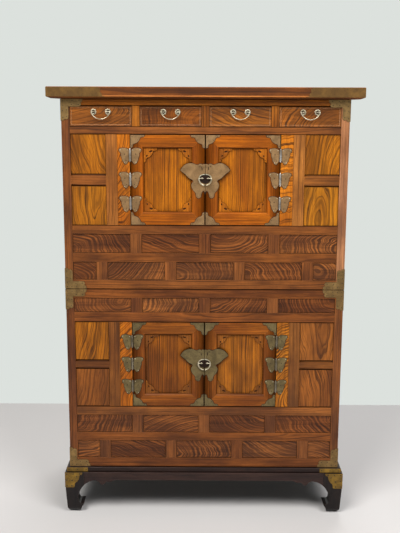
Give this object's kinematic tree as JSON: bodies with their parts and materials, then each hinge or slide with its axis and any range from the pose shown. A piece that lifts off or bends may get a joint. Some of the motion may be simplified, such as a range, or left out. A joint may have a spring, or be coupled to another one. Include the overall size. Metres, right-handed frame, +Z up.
{
  "type": "korean two tier chest",
  "caption": "Stacked framed wooden chest with panelled doors, a row of small drawers, butterfly hinges and aged brass corner plates, on a low stand with scrolled legs",
  "frame": {"origin": "on the floor, below the middle of the chest", "axes": "+X to the viewer's right along the front, +Y from the front to the back, +Z up; the doors face -Y"},
  "size_m": [0.9624, 0.4612, 1.384],
  "materials": {
    "frame_wood": "satin reddish brown zelkova frame",
    "figured_panel_wood": "satin swirled burl panel",
    "side_panel_wood": "satin figured side panel",
    "back_wood": "plain unfinished back panel",
    "inner_wood": "plain pale inner board",
    "door_wood": "satin amber door frame",
    "door_panel_wood": "satin amber straight-grained panel",
    "drawer_wood": "satin figured drawer front",
    "top_wood": "satin reddish brown top board",
    "stand_wood": "dark stained stand",
    "hinge_brass": "aged brass hinge",
    "door_brass": "aged brass plate",
    "corner_brass": "aged brass corner plate",
    "top_brass": "dark aged brass band",
    "stand_brass": "yellow aged brass band",
    "handle_brass": "rubbed brass handle"
  },
  "bodies": {
    "lower_tier": {"stand_legs": "stand_wood", "stand_aprons": "stand_wood", "stand_top_frame": "stand_wood", "stand_brass": "stand_brass", "lower_corner_posts": "frame_wood", "lower_rails": "frame_wood", "lower_uprights": "frame_wood", "lower_front_panels": "figured_panel_wood", "lower_side_panels": "side_panel_wood", "lower_back_panels": "back_wood", "lower_inner_boards": "inner_wood", "lower_jamb_hinges": "hinge_brass", "lower_corner_plates": "corner_brass"},
    "upper_tier": {"top_board": "top_wood", "top_board_brass": "top_brass", "upper_corner_posts": "frame_wood", "upper_rails": "frame_wood", "upper_uprights": "frame_wood", "upper_front_panels": "figured_panel_wood", "upper_side_panels": "side_panel_wood", "upper_back_panels": "back_wood", "upper_inner_boards": "inner_wood", "upper_jamb_hinges": "hinge_brass", "upper_corner_plates": "corner_brass"},
    "lower_left_door": {"lower_left_door_frame": "door_wood", "lower_left_door_panel": "door_panel_wood", "lower_left_door_hinges": "hinge_brass", "lower_left_door_plates": "door_brass"},
    "lower_left_door_pull": {"lower_left_door_pull": "handle_brass"},
    "lower_right_door": {"lower_right_door_frame": "door_wood", "lower_right_door_panel": "door_panel_wood", "lower_right_door_hinges": "hinge_brass", "lower_right_door_plates": "door_brass"},
    "lower_right_door_pull": {"lower_right_door_pull": "handle_brass"},
    "upper_left_door": {"upper_left_door_frame": "door_wood", "upper_left_door_panel": "door_panel_wood", "upper_left_door_hinges": "hinge_brass", "upper_left_door_plates": "door_brass"},
    "upper_left_door_pull": {"upper_left_door_pull": "handle_brass"},
    "upper_right_door": {"upper_right_door_frame": "door_wood", "upper_right_door_panel": "door_panel_wood", "upper_right_door_hinges": "hinge_brass", "upper_right_door_plates": "door_brass"},
    "upper_right_door_pull": {"upper_right_door_pull": "handle_brass"},
    "drawer_1": {"drawer_1_front": "drawer_wood", "drawer_1_box": "inner_wood", "drawer_1_handle_posts": "handle_brass"},
    "drawer_1_bail": {"drawer_1_bail": "handle_brass"},
    "drawer_2": {"drawer_2_front": "drawer_wood", "drawer_2_box": "inner_wood", "drawer_2_handle_posts": "handle_brass"},
    "drawer_2_bail": {"drawer_2_bail": "handle_brass"},
    "drawer_3": {"drawer_3_front": "drawer_wood", "drawer_3_box": "inner_wood", "drawer_3_handle_posts": "handle_brass"},
    "drawer_3_bail": {"drawer_3_bail": "handle_brass"},
    "drawer_4": {"drawer_4_front": "drawer_wood", "drawer_4_box": "inner_wood", "drawer_4_handle_posts": "handle_brass"},
    "drawer_4_bail": {"drawer_4_bail": "handle_brass"}
  },
  "joints": [
    {"name": "upper_tier_lift", "type": "slide", "parent": "lower_tier", "child": "upper_tier", "axis": [0, 0, 1], "range_m": [0, 0.15]},
    {"name": "lower_left_door_hinge", "type": "hinge", "parent": "lower_tier", "child": "lower_left_door", "pos_m": [-0.231, -0.2069, 0.509], "axis": [0, 0, -1], "range_deg": [0, 165]},
    {"name": "lower_left_door_pull_pivot", "type": "hinge", "parent": "lower_left_door", "child": "lower_left_door_pull", "pos_m": [-0.009, -0.2101, 0.516], "axis": [-1, 0, 0], "range_deg": [0, 110]},
    {"name": "lower_right_door_hinge", "type": "hinge", "parent": "lower_tier", "child": "lower_right_door", "pos_m": [0.231, -0.2069, 0.509], "axis": [0, 0, 1], "range_deg": [0, 165]},
    {"name": "lower_right_door_pull_pivot", "type": "hinge", "parent": "lower_right_door", "child": "lower_right_door_pull", "pos_m": [0.009, -0.2101, 0.516], "axis": [-1, 0, 0], "range_deg": [0, 110]},
    {"name": "upper_left_door_hinge", "type": "hinge", "parent": "upper_tier", "child": "upper_left_door", "pos_m": [-0.231, -0.2069, 1.102], "axis": [0, 0, -1], "range_deg": [0, 165]},
    {"name": "upper_left_door_pull_pivot", "type": "hinge", "parent": "upper_left_door", "child": "upper_left_door_pull", "pos_m": [-0.009, -0.2101, 1.109], "axis": [-1, 0, 0], "range_deg": [0, 110]},
    {"name": "upper_right_door_hinge", "type": "hinge", "parent": "upper_tier", "child": "upper_right_door", "pos_m": [0.231, -0.2069, 1.102], "axis": [0, 0, 1], "range_deg": [0, 165]},
    {"name": "upper_right_door_pull_pivot", "type": "hinge", "parent": "upper_right_door", "child": "upper_right_door_pull", "pos_m": [0.009, -0.2101, 1.109], "axis": [-1, 0, 0], "range_deg": [0, 110]},
    {"name": "drawer_1_slide", "type": "slide", "parent": "upper_tier", "child": "drawer_1", "axis": [0, -1, 0], "range_m": [0, 0.25]},
    {"name": "drawer_1_bail_pivot", "type": "hinge", "parent": "drawer_1", "child": "drawer_1_bail", "pos_m": [-0.31912, -0.2102, 1.30955], "axis": [-1, 0, 0], "range_deg": [0, 110]},
    {"name": "drawer_2_slide", "type": "slide", "parent": "upper_tier", "child": "drawer_2", "axis": [0, -1, 0], "range_m": [0, 0.25]},
    {"name": "drawer_2_bail_pivot", "type": "hinge", "parent": "drawer_2", "child": "drawer_2_bail", "pos_m": [-0.10637, -0.2102, 1.30955], "axis": [-1, 0, 0], "range_deg": [0, 110]},
    {"name": "drawer_3_slide", "type": "slide", "parent": "upper_tier", "child": "drawer_3", "axis": [0, -1, 0], "range_m": [0, 0.25]},
    {"name": "drawer_3_bail_pivot", "type": "hinge", "parent": "drawer_3", "child": "drawer_3_bail", "pos_m": [0.10637, -0.2102, 1.30955], "axis": [-1, 0, 0], "range_deg": [0, 110]},
    {"name": "drawer_4_slide", "type": "slide", "parent": "upper_tier", "child": "drawer_4", "axis": [0, -1, 0], "range_m": [0, 0.25]},
    {"name": "drawer_4_bail_pivot", "type": "hinge", "parent": "drawer_4", "child": "drawer_4_bail", "pos_m": [0.31912, -0.2102, 1.30955], "axis": [-1, 0, 0], "range_deg": [0, 110]}
  ]
}
